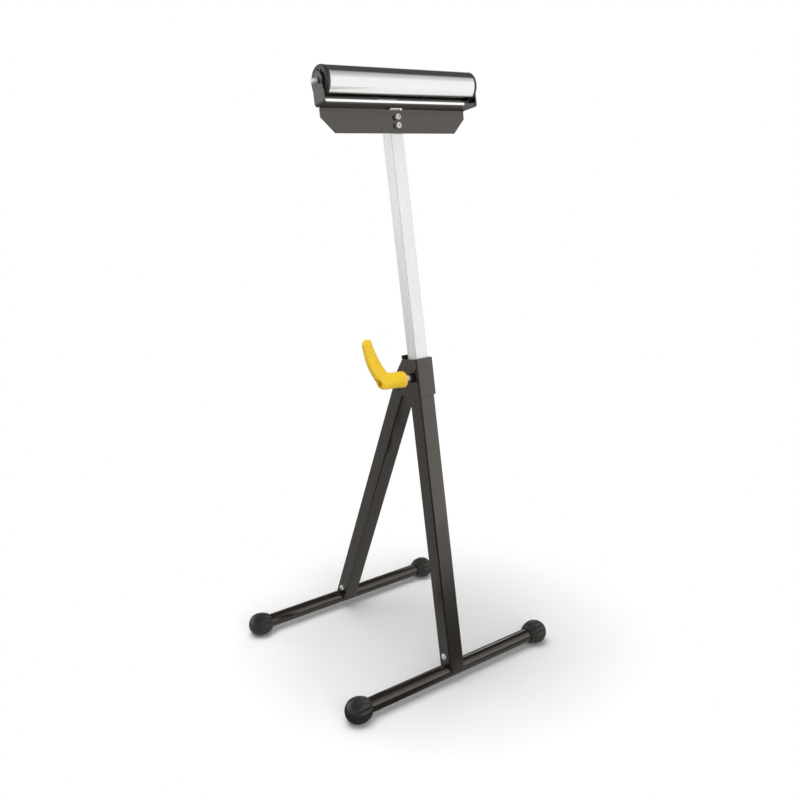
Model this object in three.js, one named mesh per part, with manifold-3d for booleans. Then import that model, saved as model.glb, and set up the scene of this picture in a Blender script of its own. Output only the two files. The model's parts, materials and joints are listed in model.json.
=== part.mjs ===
// Roller stand: a folding A-frame with a sliding post, a support roller and a clamp handle.
// Millimetres, +Z up, +X along the roller, +Y to the rear, origin on the floor between the feet.
import * as THREE from "three";
import { mergeVertices } from "three/addons/utils/BufferGeometryUtils.js";
import Module from "manifold-3d";

const wasm = await Module();
wasm.setup();

// Stance of the two legs
const frontLean = THREE.MathUtils.degToRad(8.5);
const rearLean = THREE.MathUtils.degToRad(25.1);
const hingeHeight = 531;
const hingeSetback = 46;

// Clearances
const fitGap = 0.3;
const slideClearance = 0.7;
const runningGap = 0.4;

// Post and leg tubes
const postWidth = 25.4;
const postWall = 1.5;
const postCorner = 1.2;
const postLength = 570;
const postShow = 425;
const legWall = 2.5;
const legCorner = 2.2;

// Foot bars and their rubber caps
const footDiameter = 26.7;
const footWall = 1.5;
const footSpan = 467;
const capRadius = 23.2;
const capSleeve = 28;
const capSeat = 6;
const capLip = 2.2;
const capFlat = 0.5;

// Foot stubs and bolts
const stubHeight = 46;
const stubWall = 1.5;
const footBoltHeight = 28;
const footBoltDiameter = 6;
const footBoltHead = 12;
const footBoltHeadHeight = 4;
const footNutFlats = 10;
const footNutHeight = 5;
const boltEnd = 2;

// Hinge bracket, stop plate and hinge pin
const bracketSheet = 2.5;
const bracketBend = 4;
const bracketRise = 49;
const bracketDrop = 21.5;
const legTopInset = 2;
const cheekTopDepth = 23;
const cheekRound = 17;
const stopPlateSheet = 3;
const stopPlateRise = 7;
const stopPlateDrop = 10;
const pinDiameter = 8;
const pinHead = 14;
const pinHeadHeight = 3.5;
const pinNutFlats = 13;
const pinNutHeight = 6.5;
const bushDiameter = 13;

// Clamp screw, nut and handle
const clampRise = 17;
const screwDiameter = 10;
const clampNutFlats = 17;
const clampNutHeight = 6;
const screwShow = 12;
const screwSeat = 25;
const hubDiameter = 27;
const hubEdge = 2;
const hubLength = 25;
const elbowReach = 43;
const elbowRise = 7;
const lowArmReach = 53;
const lowArmRise = 23;
const armReach = 60;
const armRise = 44;
const armWidth = 23;
const armDepth = 18;
const tipReach = 66;
const tipRise = 77;
const tipWidth = 16;
const tipDepth = 14;
const tipRound = 3;
const recessDiameter = 14;
const recessDepth = 3;

// Roller bracket
const cradleSheet = 2.5;
const earBend = 5;
const plateBend = 7;
const cradleLift = 0.6;
const earWidth = 30;
const plateWidth = 297;
const plateHeight = 42;
const plateChamfer = 25;
const reliefSlack = 1;
const reliefDrop = 3.3;
const reliefReach = 2;
const rollerReach = 16.5;
const rollerRise = 34;

// Head bolts
const headBoltDrop = 16.6;
const headBoltPitch = 14;
const headBoltDiameter = 6;
const headBoltHead = 10;
const headBoltHeadHeight = 6;
const headBoltSocket = 6;
const headBoltSocketDepth = 3;
const headNutFlats = 10;
const headNutHeight = 5;

// Post end plug
const plugFlange = 3;
const plugDepth = 18;

// Roller, its end plugs and axle
const rollerDiameter = 50.8;
const rollerWall = 1.2;
const rollerLength = 305;
const rollerEndGap = 1.5;
const endPlugRim = 5.5;
const endPlugDepth = 18;
const endPlugFace = 5;
const endPlugSkirt = 2;
const endPlugHub = 1.7;
const pocketCount = 12;
const pocketInner = 13.8;
const pocketOuter = 18;
const pocketWidth = 4.4;
const pocketDepth = 2.5;
const axleDiameter = 8;
const axleEnd = 11;
const clipDiameter = 14;
const clipThickness = 1;
const spacerDiameter = 12;

// Ball bearings
const bearingDiameter = 22;
const bearingWidth = 7;
const bearingInset = 2;
const bearingShoulder = 2;
const innerRingDiameter = 12.6;
const outerRingBore = 17.8;
const ballDiameter = 4;
const ballCount = 7;
const cageWidth = 1.6;
const cageThickness = 1.2;

// Facets of round shapes
const smallSides = 16;
const tubeSides = 24;
const rollerSides = 48;
const arcSteps = 8;
const outlineSteps = 4;
const cornerSteps = 2;
const ballSides = 8;
const ballRows = 4;
const cageSides = 14;
const hexSides = 6;
const handleSteps = 8;

// Turns in degrees
const fullTurn = 360;
const halfTurn = 180;
const quarterTurn = 90;

// Sizes that follow from the ones above
const legInner = postWidth + 2 * slideClearance;
const legWidth = legInner + 2 * legWall;
const openAngle = frontLean + rearLean;
const footAxisHeight = capRadius - capFlat;
const hingeDrop = hingeHeight * Math.cos(frontLean) - hingeSetback * Math.sin(frontLean);
const rearHingeHeight = hingeDrop / Math.cos(rearLean);
const hingeAdvance = hingeHeight * Math.sin(frontLean) + hingeSetback * Math.cos(frontLean);
const footSpread = hingeAdvance + rearHingeHeight * Math.sin(rearLean);
const capCentre = footSpan / 2 - capRadius;
const bracketTop = hingeHeight + bracketRise;
const bracketBottom = hingeHeight - bracketDrop;
const cheekInner = legWidth / 2 + fitGap;
const cheekOuter = cheekInner + bracketSheet;
const clampHeight = hingeHeight + clampRise;
const stopReach = hingeSetback - cheekTopDepth - fitGap;
const rearLegTail = (stopReach - (legWidth / 2) * Math.cos(openAngle)) / Math.sin(openAngle);
const postTop = bracketTop + postShow;
const postBottom = postTop - postLength;
const plateBack = postWidth / 2 + fitGap;
const plateFront = plateBack + cradleSheet;
const stripTop = postTop + cradleLift;
const stripBottom = stripTop - cradleSheet;
const rollerForward = plateBack + rollerReach;
const stripFront = rollerForward + earWidth / 2;
const rollerHeight = stripTop + rollerRise;
const earInner = rollerLength / 2 + rollerEndGap;
const earOuter = earInner + cradleSheet;
const rollerBore = rollerDiameter - 2 * rollerWall;
const handleStart = cheekOuter + fitGap + clampNutHeight + screwShow;

// Finishes
const blackPaint = { color: 0x17171a, roughness: 0.32, metalness: 0.1 };
const zinc = { color: 0xd4d6d8, roughness: 0.35, metalness: 0.9 };
const chrome = { color: 0xe6e8ea, roughness: 0.08, metalness: 1.0 };
const steel = { color: 0x8d9095, roughness: 0.4, metalness: 0.9 };
const blackRubber = { color: 0x151515, roughness: 0.7, metalness: 0.0 };
const blackPlastic = { color: 0x1c1c1e, roughness: 0.55, metalness: 0.0 };
const yellowPlastic = { color: 0xf2b90f, roughness: 0.4, metalness: 0.0 };

// A closed geometry as a solid, with its faces pointing out
function solid(geometry) {
  const bare = geometry.clone();
  bare.deleteAttribute("normal");
  bare.deleteAttribute("uv");
  const merged = mergeVertices(bare);
  const corners = merged.index.array;
  const triangles = [];
  for (let i = 0; i < corners.length; i += 3) {
    const triangle = [corners[i], corners[i + 1], corners[i + 2]];
    if (new Set(triangle).size === 3) triangles.push(...triangle);
  }
  const vertProperties = Float32Array.from(merged.attributes.position.array);
  const build = (list) =>
    new wasm.Manifold(new wasm.Mesh({ numProp: 3, vertProperties, triVerts: Uint32Array.from(list) }));
  const made = build(triangles);
  return made.volume() > 0 ? made : build(triangles.reverse());
}

const cut = (body, ...tools) => tools.reduce((left, tool) => left.subtract(tool), body);
const join = (body, ...others) => others.reduce((sum, other) => sum.add(other), body);

// One named mesh for a solid
function addPiece(group, name, body, finish) {
  const { vertProperties, triVerts } = body.getMesh();
  const geometry = new THREE.BufferGeometry();
  geometry.setAttribute("position", new THREE.BufferAttribute(vertProperties, 3));
  geometry.setIndex(new THREE.BufferAttribute(triVerts, 1));
  geometry.computeVertexNormals();
  const mesh = new THREE.Mesh(geometry, new THREE.MeshStandardMaterial(finish));
  mesh.name = name;
  group.add(mesh);
}

// Box between two corners
function block(low, high) {
  const size = high.map((value, i) => value - low[i]);
  const middle = high.map((value, i) => (value + low[i]) / 2);
  return solid(new THREE.BoxGeometry(...size).translate(...middle));
}

// Round bar along X from x0 to x1, through the point (y, z)
function barX(diameter, x0, x1, y, z, sides = smallSides) {
  const bar = new THREE.CylinderGeometry(diameter / 2, diameter / 2, x1 - x0, sides);
  return solid(bar.rotateZ(-Math.PI / 2).translate((x0 + x1) / 2, y, z));
}

// Round bar along Y from y0 to y1, through the point (x, z)
function barY(diameter, y0, y1, x, z, sides = smallSides) {
  const bar = new THREE.CylinderGeometry(diameter / 2, diameter / 2, y1 - y0, sides);
  return solid(bar.translate(x, (y0 + y1) / 2, z));
}

// Turned solid about X, from a profile of [radius, x] points
function turnedX(profile, sides = smallSides) {
  const points = profile.map(([radius, x]) => new THREE.Vector2(radius, x));
  return new THREE.LatheGeometry(points, sides).rotateZ(-Math.PI / 2);
}

// Ring about X between two radii, from x0 to x1
function ringX(bore, diameter, x0, x1, sides = smallSides) {
  const [inner, outer] = [bore / 2, diameter / 2];
  return turnedX([[inner, x0], [outer, x0], [outer, x1], [inner, x1], [inner, x0]], sides);
}

// Outline in the YZ plane, drawn as (y, z), pushed along X
function extrudeX(shape, x0, x1) {
  const options = { depth: x1 - x0, bevelEnabled: false, curveSegments: outlineSteps };
  const axes = [new THREE.Vector3(0, 1, 0), new THREE.Vector3(0, 0, 1), new THREE.Vector3(1, 0, 0)];
  const turn = new THREE.Matrix4().makeBasis(...axes);
  return solid(new THREE.ExtrudeGeometry(shape, options).applyMatrix4(turn).translate(x0, 0, 0));
}

// Outline in the XZ plane, drawn as (x, z), pushed along Y
function extrudeY(shape, y0, y1) {
  const options = { depth: y1 - y0, bevelEnabled: false, curveSegments: cornerSteps };
  return solid(new THREE.ExtrudeGeometry(shape, options).rotateX(Math.PI / 2).translate(0, y1, 0));
}

// Outline in the XY plane pushed along Z
function extrudeZ(shape, z0, z1) {
  const options = { depth: z1 - z0, bevelEnabled: false, curveSegments: cornerSteps };
  return solid(new THREE.ExtrudeGeometry(shape, options).translate(0, 0, z0));
}

// Square outline with rounded corners
function roundedSquare(path, width, corner) {
  const half = width / 2;
  const flat = half - corner;
  const centres = [[flat, -flat], [flat, flat], [-flat, flat], [-flat, -flat]];
  centres.forEach(([x, y], i) => {
    const start = ((i - 1) * Math.PI) / 2;
    path.absarc(x, y, corner, start, start + Math.PI / 2, false);
  });
  path.closePath();
  return path;
}

// Square tube along Z
function squareTube(width, wall, corner, z0, z1) {
  const outline = roundedSquare(new THREE.Shape(), width, corner);
  outline.holes.push(roundedSquare(new THREE.Path(), width - 2 * wall, Math.max(corner - wall, fitGap)));
  return extrudeZ(outline, z0, z1);
}

// Hexagon nut along X or Y, with a bore
function hexNut(flats, bore, height) {
  const corner = flats / Math.sqrt(3);
  const hexagon = new THREE.CylinderGeometry(corner, corner, height, hexSides);
  const hole = new THREE.CylinderGeometry(bore / 2, bore / 2, 2 * height, smallSides);
  return cut(solid(hexagon), solid(hole));
}
const nutX = (flats, bore, x0, x1, y, z) =>
  hexNut(flats, bore, x1 - x0).rotate([0, 0, quarterTurn]).translate([(x0 + x1) / 2, y, z]);
const nutY = (flats, bore, y0, y1, x, z) =>
  hexNut(flats, bore, y1 - y0).translate([x, (y0 + y1) / 2, z]);

// Domed bolt along X: head on the left of headFace, shank to x1
function domedBoltX(diameter, head, headHeight, headFace, x1, y, z) {
  const profile = [[0, x1], [diameter / 2, x1], [diameter / 2, headFace], [head / 2, headFace]];
  const rim = headFace - headHeight / 2;
  for (let i = 0; i <= arcSteps / 2; i += 1) {
    const angle = (i / (arcSteps / 2)) * (Math.PI / 2);
    profile.push([(head / 2) * Math.cos(angle), rim - (headHeight / 2) * Math.sin(angle)]);
  }
  profile.at(-1)[0] = 0;
  return solid(turnedX(profile).translate(0, y, z));
}

// Leg of square tube, seated over its foot bar, with a cross hole for the foot bolt
function legTube(top) {
  const tube = squareTube(legWidth, legWall, legCorner, 0, top);
  const saddle = barX(footDiameter + 2 * fitGap, -legWidth, legWidth, 0, 0, tubeSides);
  const boltHole = barX(footBoltDiameter + 2 * runningGap, -legWidth, legWidth, 0, footBoltHeight);
  return cut(tube, saddle, boltHole);
}

// Parts that join a leg to its foot bar
function addFootJoint(group, side) {
  const stub = squareTube(legInner - 2 * slideClearance, stubWall, postCorner, 0, stubHeight);
  const saddle = barX(footDiameter + 2 * fitGap, -legWidth, legWidth, 0, 0, tubeSides);
  const hole = barX(footBoltDiameter + 2 * runningGap, -legWidth, legWidth, 0, footBoltHeight);
  addPiece(group, `${side}_foot_stub`, cut(stub, saddle, hole), blackPaint);
  const seat = legWidth / 2 + fitGap;
  const end = seat + footNutHeight + boltEnd;
  const sizes = [footBoltDiameter, footBoltHead, footBoltHeadHeight];
  const bolt = domedBoltX(...sizes, -seat, end, 0, footBoltHeight);
  addPiece(group, `${side}_foot_bolt`, bolt, zinc);
  const bore = footBoltDiameter + 2 * runningGap;
  const nut = nutX(footNutFlats, bore, seat, seat + footNutHeight, 0, footBoltHeight);
  addPiece(group, `${side}_foot_nut`, nut, zinc);
}

// Rubber ball cap on the right end of a foot bar, tapering to its lip and flat where it stands
function footCap() {
  const bore = footDiameter / 2 + fitGap;
  const lip = bore + capLip;
  const mouth = capSleeve - capSeat;
  const profile = [[0, capSeat], [bore, capSeat], [bore, -mouth], [lip, -mouth]];
  const tangent = Math.acos(Math.min(1, capRadius / Math.hypot(mouth, lip)));
  const start = tangent - Math.atan2(mouth, lip);
  for (let i = 0; i <= arcSteps; i += 1) {
    const angle = start + (i / arcSteps) * (Math.PI / 2 - start);
    profile.push([capRadius * Math.cos(angle), capRadius * Math.sin(angle)]);
  }
  profile.at(-1)[0] = 0;
  const ball = solid(turnedX(profile, tubeSides));
  const reach = 2 * capRadius;
  return cut(ball, block([-reach, -reach, -reach], [reach, reach, -footAxisHeight]));
}

// Foot bar with its two caps
function addFootBar(group, side) {
  const end = capCentre + capSeat - fitGap;
  const bar = solid(ringX(footDiameter - 2 * footWall, footDiameter, -end, end, tubeSides));
  addPiece(group, `${side}_foot_bar`, bar, blackPaint);
  const cap = footCap();
  addPiece(group, `${side}_foot_cap_right`, cap.translate([capCentre, 0, 0]), blackRubber);
  const turned = cap.rotate([0, 0, halfTurn]);
  addPiece(group, `${side}_foot_cap_left`, turned.translate([-capCentre, 0, 0]), blackRubber);
}

// Side outline of the hinge bracket: web in front, cheeks tapering back round the hinge pin
function bracketOutline() {
  const outline = new THREE.Shape();
  const toTop = Math.atan2(bracketRise, cheekTopDepth - hingeSetback);
  const topDistance = Math.hypot(bracketRise, cheekTopDepth - hingeSetback);
  const arcEnd = toTop - Math.acos(cheekRound / topDistance);
  outline.moveTo(-cheekOuter, bracketBottom);
  outline.absarc(hingeSetback, hingeHeight, cheekRound, -Math.PI / 2, arcEnd, false);
  outline.lineTo(cheekTopDepth, bracketTop);
  outline.lineTo(-cheekOuter, bracketTop);
  outline.closePath();
  return outline;
}

// Hinge bracket: a bent channel trimmed to its side outline
function hingeBracket() {
  const back = hingeSetback + cheekRound + bracketSheet;
  const inside = bracketBend - bracketSheet;
  const [inner, outer] = [cheekInner - inside, cheekOuter - bracketBend];
  const quarter = Math.PI / 2;
  const channel = new THREE.Shape();
  channel.moveTo(cheekOuter, back);
  channel.lineTo(cheekInner, back);
  channel.absarc(inner, -inner, inside, 0, -quarter, true);
  channel.absarc(-inner, -inner, inside, -quarter, -2 * quarter, true);
  channel.lineTo(-cheekInner, back);
  channel.lineTo(-cheekOuter, back);
  channel.absarc(-outer, -outer, bracketBend, -2 * quarter, -quarter, false);
  channel.absarc(outer, -outer, bracketBend, -quarter, 0, false);
  channel.closePath();
  const bent = extrudeZ(channel, bracketBottom, bracketTop);
  const trimmed = bent.intersect(extrudeX(bracketOutline(), -cheekOuter - fitGap, cheekOuter + fitGap));
  const pinBore = pinDiameter + 2 * fitGap;
  const pinHole = barX(pinBore, -2 * cheekOuter, 2 * cheekOuter, hingeSetback, hingeHeight);
  const screwHole = barX(screwDiameter + 2 * runningGap, -2 * cheekOuter, 0, 0, clampHeight);
  return cut(trimmed, pinHole, screwHole);
}

// Cross plate between the cheeks that the rear leg's top rests against when open
function stopPlate() {
  const front = cheekTopDepth - stopPlateSheet;
  const half = cheekInner - fitGap;
  const shoulder = bracketTop + fitGap;
  const low = hingeHeight - stopPlateDrop;
  const top = shoulder + stopPlateRise;
  const body = block([-half, front, low], [half, cheekTopDepth, top]);
  const head = block([-cheekOuter, front, shoulder], [cheekOuter, cheekTopDepth, top]);
  return join(body, head);
}

// Rings of points along the handle's centre line, from the hub's inner end to the tip
function handleRings() {
  const line = new THREE.CatmullRomCurve3([
    new THREE.Vector3(-handleStart, 0, clampHeight),
    new THREE.Vector3(-handleStart - hubLength, 0, clampHeight),
    new THREE.Vector3(-handleStart - elbowReach, 0, clampHeight + elbowRise),
    new THREE.Vector3(-handleStart - lowArmReach, 0, clampHeight + lowArmRise),
    new THREE.Vector3(-handleStart - armReach, 0, clampHeight + armRise),
    new THREE.Vector3(-handleStart - tipReach, 0, clampHeight + tipRise),
  ]);
  const length = line.getLength();
  const stations = [[0, hubDiameter - 2 * hubEdge, hubDiameter - 2 * hubEdge]];
  stations.push([hubEdge / length, hubDiameter, hubDiameter]);
  stations.push([hubLength / length, hubDiameter, hubDiameter]);
  const armShare = (length - (tipRise - armRise)) / length;
  for (let i = 1; i <= handleSteps; i += 1) {
    const share = i / handleSteps;
    const place = THREE.MathUtils.lerp(hubLength / length, armShare, share);
    const width = THREE.MathUtils.lerp(hubDiameter, armWidth, share);
    stations.push([place, width, THREE.MathUtils.lerp(hubDiameter, armDepth, share)]);
  }
  stations.push([1 - tipRound / length, tipWidth, tipDepth]);
  stations.push([1, tipWidth - tipRound, tipDepth - tipRound]);
  return stations.map(([place, width, depth]) => {
    const centre = line.getPointAt(place);
    const along = line.getTangentAt(place);
    const across = new THREE.Vector3(along.z, 0, -along.x);
    const ring = [];
    for (let i = 0; i < smallSides; i += 1) {
      const angle = (i / smallSides) * 2 * Math.PI;
      const point = centre.clone().addScaledVector(across, (width / 2) * Math.cos(angle));
      point.y += (depth / 2) * Math.sin(angle);
      ring.push(point);
    }
    return ring;
  });
}

// Closed skin over rings of equal length
function loft(rings) {
  const sides = rings[0].length;
  const points = rings.flat();
  const index = [];
  for (let row = 0; row < rings.length - 1; row += 1) {
    for (let i = 0; i < sides; i += 1) {
      const here = row * sides + i;
      const next = row * sides + ((i + 1) % sides);
      index.push(here, next, here + sides, next, next + sides, here + sides);
    }
  }
  const last = (rings.length - 1) * sides;
  for (let i = 1; i < sides - 1; i += 1) {
    index.push(0, i + 1, i);
    index.push(last, last + i, last + i + 1);
  }
  const geometry = new THREE.BufferGeometry().setFromPoints(points);
  geometry.setIndex(index);
  return solid(geometry);
}

// Clamp handle: hub, bent arm, a blind hole for the screw and a round recess at the elbow
function clampHandle() {
  const body = loft(handleRings());
  const bore = barX(screwDiameter + 2 * fitGap, -handleStart - screwSeat, 0, 0, clampHeight);
  const elbowSkin = handleStart + elbowReach;
  const recessHeight = clampHeight + elbowRise / 2;
  const recess = barX(recessDiameter, -2 * elbowSkin, -elbowSkin - recessDepth, 0, recessHeight);
  return cut(body, bore, recess);
}

// Roller bracket: a plate on the post, a strip bent forward and two ears bent up
function rollerBracket() {
  const inside = earBend - cradleSheet;
  const bendAt = plateBack + plateBend;

  const bow = new THREE.Shape();
  const earTop = rollerHeight + earWidth / 2;
  const bendRise = stripBottom + earBend;
  bow.moveTo(earOuter, earTop);
  bow.lineTo(earInner, earTop);
  bow.absarc(earInner - inside, stripTop + inside, inside, 0, -Math.PI / 2, true);
  bow.absarc(inside - earInner, stripTop + inside, inside, -Math.PI / 2, -Math.PI, true);
  bow.lineTo(-earInner, earTop);
  bow.lineTo(-earOuter, earTop);
  bow.absarc(earBend - earOuter, bendRise, earBend, Math.PI, 1.5 * Math.PI, false);
  bow.absarc(earOuter - earBend, bendRise, earBend, 1.5 * Math.PI, 2 * Math.PI, false);
  bow.closePath();
  const earBack = earWidth / 2 - rollerForward;
  const tabSide = plateWidth / 2 + reliefSlack;
  const bendRoom = block([-tabSide, -bendAt + fitGap, stripBottom - fitGap], [tabSide, 0, stripTop + fitGap]);
  const cradle = cut(extrudeY(bow, -stripFront, earBack), bendRoom);

  const ear = new THREE.Shape();
  ear.moveTo(-stripFront, stripBottom - fitGap);
  ear.lineTo(earBack, stripBottom - fitGap);
  ear.absarc(-rollerForward, rollerHeight, earWidth / 2, 0, Math.PI, false);
  ear.closePath();
  const rounded = cradle.intersect(extrudeX(ear, -earOuter - fitGap, earOuter + fitGap));

  const bend = new THREE.Shape();
  bend.moveTo(-plateBack, stripTop - plateHeight);
  bend.absarc(-bendAt, stripTop - plateBend, plateBend, 0, Math.PI / 2, false);
  bend.lineTo(-bendAt - cradleSheet, stripTop);
  bend.lineTo(-bendAt - cradleSheet, stripBottom);
  bend.absarc(-bendAt, stripTop - plateBend, plateBend - cradleSheet, Math.PI / 2, 0, true);
  bend.lineTo(-plateFront, stripTop - plateHeight);
  bend.closePath();
  const apron = extrudeX(bend, -plateWidth / 2, plateWidth / 2);

  const face = new THREE.Shape();
  const plateLow = stripTop - plateHeight;
  face.moveTo(-plateWidth / 2 + plateChamfer, plateLow);
  face.lineTo(plateWidth / 2 - plateChamfer, plateLow);
  face.lineTo(plateWidth / 2, plateLow + plateChamfer);
  face.lineTo(plateWidth / 2, stripTop + fitGap);
  face.lineTo(-plateWidth / 2, stripTop + fitGap);
  face.lineTo(-plateWidth / 2, plateLow + plateChamfer);
  face.closePath();
  const plate = apron.intersect(extrudeY(face, -stripFront, 0));

  const slot = postWidth / 2 + reliefSlack;
  const slotFront = -bendAt - reliefReach;
  const relief = block([-slot, slotFront, stripTop - reliefDrop], [slot, 0, stripTop + fitGap]);
  const axleBore = axleDiameter + 2 * fitGap;
  const axleHole = barX(axleBore, -2 * earOuter, 2 * earOuter, -rollerForward, rollerHeight);
  return cut(join(rounded, plate), relief, axleHole, ...headBoltHoles());
}

const headBoltHeights = [0, 1].map((i) => stripTop - headBoltDrop - i * headBoltPitch);

function headBoltHoles() {
  const bore = headBoltDiameter + 2 * runningGap;
  return headBoltHeights.map((height) => barY(bore, -stripFront, postWidth, 0, height));
}

// Socket head bolt along Y, its head in front
function headBolt(height) {
  const headFace = -plateFront - fitGap;
  const end = postWidth / 2 + fitGap + headNutHeight + boltEnd;
  const head = barY(headBoltHead, headFace - headBoltHeadHeight, headFace, 0, height);
  const shank = barY(headBoltDiameter, headFace - fitGap, end, 0, height);
  const front = headFace - headBoltHeadHeight;
  const corners = (2 * headBoltSocket) / Math.sqrt(3);
  const socketEnd = front + headBoltSocketDepth;
  const socket = barY(corners, front - fitGap, socketEnd, 0, height, hexSides);
  return cut(join(head, shank), socket);
}

// Plastic plug in the post's lower end, its flange guiding the post in the leg
function postPlug() {
  const flange = legInner - 2 * fitGap;
  const neck = postWidth - 2 * postWall - 2 * fitGap;
  const seat = postBottom - fitGap;
  const base = extrudeZ(roundedSquare(new THREE.Shape(), flange, postCorner), seat - plugFlange, seat);
  const body = extrudeZ(roundedSquare(new THREE.Shape(), neck, fitGap), seat - fitGap, seat + plugDepth);
  return join(base, body);
}

// Plastic plug in the roller's right end, about the axle: a rim as wide as the roller, and pockets
function rollerPlug() {
  const face = rollerLength / 2;
  const outer = rollerBore / 2 - fitGap;
  const rim = rollerDiameter / 2;
  const rimEnd = face - endPlugRim;
  const pocketRoof = face - endPlugFace;
  const bearingSeat = bearingDiameter / 2 + fitGap;
  const hub = bearingSeat + endPlugHub;
  const seatEnd = face - bearingInset - bearingWidth - fitGap;
  const hubEnd = seatEnd - bearingShoulder;
  const mouth = innerRingDiameter / 2 + 2 * runningGap;
  const skirt = outer - endPlugSkirt;
  const skirtEnd = face - endPlugDepth;
  const profile = [[mouth, hubEnd], [hub, hubEnd], [hub, pocketRoof], [skirt, pocketRoof]];
  profile.push([skirt, skirtEnd], [outer, skirtEnd], [outer, rimEnd], [rim, rimEnd], [rim, face]);
  profile.push([bearingSeat, face], [bearingSeat, seatEnd], [mouth, seatEnd], [mouth, hubEnd]);
  const body = solid(turnedX(profile, rollerSides));
  const low = [face - pocketDepth, -pocketWidth / 2, pocketInner];
  const pocket = block(low, [face + pocketDepth, pocketWidth / 2, pocketOuter]);
  const turns = Array.from({ length: pocketCount }, (_, i) => (i * fullTurn) / pocketCount);
  return cut(body, ...turns.map((angle) => pocket.rotate([angle, 0, 0])));
}

// Ball bearing at the middle of its width: two grooved rings, and balls joined by their cage
const ballPitch = (innerRingDiameter + outerRingBore) / 4;
const grooveRadius = ballDiameter / 2 + fitGap;

function grooveArc(landRadius, outward) {
  const half = Math.sqrt(grooveRadius ** 2 - (landRadius - ballPitch) ** 2);
  const arc = [];
  for (let i = 0; i <= arcSteps / 2; i += 1) {
    const x = half * ((4 * i) / arcSteps - 1);
    arc.push([ballPitch + outward * Math.sqrt(grooveRadius ** 2 - x * x), x]);
  }
  return arc;
}

function bearingInner() {
  const bore = axleDiameter / 2 + fitGap;
  const half = bearingWidth / 2;
  const land = innerRingDiameter / 2;
  const profile = [[bore, -half], [land, -half], ...grooveArc(land, -1), [land, half], [bore, half]];
  profile.push(profile[0]);
  return solid(turnedX(profile, smallSides));
}

function bearingOuter() {
  const outer = bearingDiameter / 2;
  const half = bearingWidth / 2;
  const land = outerRingBore / 2;
  const profile = [[outer, -half], [land, -half], ...grooveArc(land, 1), [land, half], [outer, half]];
  profile.push(profile[0]);
  return solid(turnedX(profile, tubeSides));
}

function bearingBalls() {
  const [thin, wide] = [2 * ballPitch - cageThickness, 2 * ballPitch + cageThickness];
  const cage = solid(ringX(thin, wide, -cageWidth / 2, cageWidth / 2, cageSides));
  const sphere = new THREE.SphereGeometry(ballDiameter / 2, ballSides, ballRows);
  const ball = solid(sphere.translate(0, 0, ballPitch));
  const turns = Array.from({ length: ballCount }, (_, i) => (i * fullTurn) / ballCount);
  return join(cage, ...turns.map((angle) => ball.rotate([angle, 0, 0])));
}

// The whole stand
const stand = new THREE.Group();

const frontFoot = new THREE.Group();
frontFoot.position.set(0, -footSpread / 2, footAxisHeight);
stand.add(frontFoot);
addFootBar(frontFoot, "front");

const rearFoot = new THREE.Group();
rearFoot.position.set(0, footSpread / 2, footAxisHeight);
stand.add(rearFoot);
addFootBar(rearFoot, "rear");

// Front leg, with the bracket at its top
const frontLeg = new THREE.Group();
frontLeg.position.copy(frontFoot.position);
frontLeg.rotation.x = -frontLean;
stand.add(frontLeg);
const screwWallHole = barX(screwDiameter + 2 * runningGap, -legWidth, 0, 0, clampHeight);
addPiece(frontLeg, "front_leg_tube", cut(legTube(bracketTop - legTopInset), screwWallHole), blackPaint);
addFootJoint(frontLeg, "front");
addPiece(frontLeg, "hinge_bracket", hingeBracket(), blackPaint);
addPiece(frontLeg, "fold_stop_plate", stopPlate(), blackPaint);

const pinSeat = cheekOuter + fitGap;
const pinEnd = pinSeat + pinNutHeight + boltEnd;
const pinSizes = [pinDiameter, pinHead, pinHeadHeight];
const pin = domedBoltX(...pinSizes, -pinSeat, pinEnd, hingeSetback, hingeHeight);
addPiece(frontLeg, "hinge_pin", pin, blackPaint);
const pinNutBore = pinDiameter + 2 * runningGap;
const pinNutEnd = pinSeat + pinNutHeight;
const pinNut = nutX(pinNutFlats, pinNutBore, pinSeat, pinNutEnd, hingeSetback, hingeHeight);
addPiece(frontLeg, "hinge_nut", pinNut, steel);

const clampNutBore = screwDiameter + 2 * runningGap;
const clampNut = nutX(clampNutFlats, clampNutBore, -pinSeat - clampNutHeight, -pinSeat, 0, clampHeight);
addPiece(frontLeg, "clamp_nut", clampNut, blackPaint);

// Clamp screw and handle
const screwTip = postWidth / 2 + fitGap;
const screwEnd = handleStart + screwSeat - fitGap;
addPiece(frontLeg, "clamp_screw", barX(screwDiameter, -screwEnd, -screwTip, 0, clampHeight), zinc);
addPiece(frontLeg, "clamp_handle", clampHandle(), yellowPlastic);

// Rear leg, hinged on the bracket's pin
const rearLeg = new THREE.Group();
rearLeg.position.copy(rearFoot.position);
rearLeg.rotation.x = rearLean;
stand.add(rearLeg);
const bushHole = barX(pinDiameter + 2 * runningGap, -legWidth, legWidth, 0, rearHingeHeight);
addPiece(rearLeg, "rear_leg_tube", cut(legTube(rearHingeHeight + rearLegTail), bushHole), blackPaint);
addFootJoint(rearLeg, "rear");
const bushEnd = legInner / 2 - fitGap;
const bush = ringX(pinDiameter + 2 * runningGap, bushDiameter, -bushEnd, bushEnd);
addPiece(rearLeg, "hinge_bush", solid(bush.translate(0, 0, rearHingeHeight)), steel);

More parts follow.
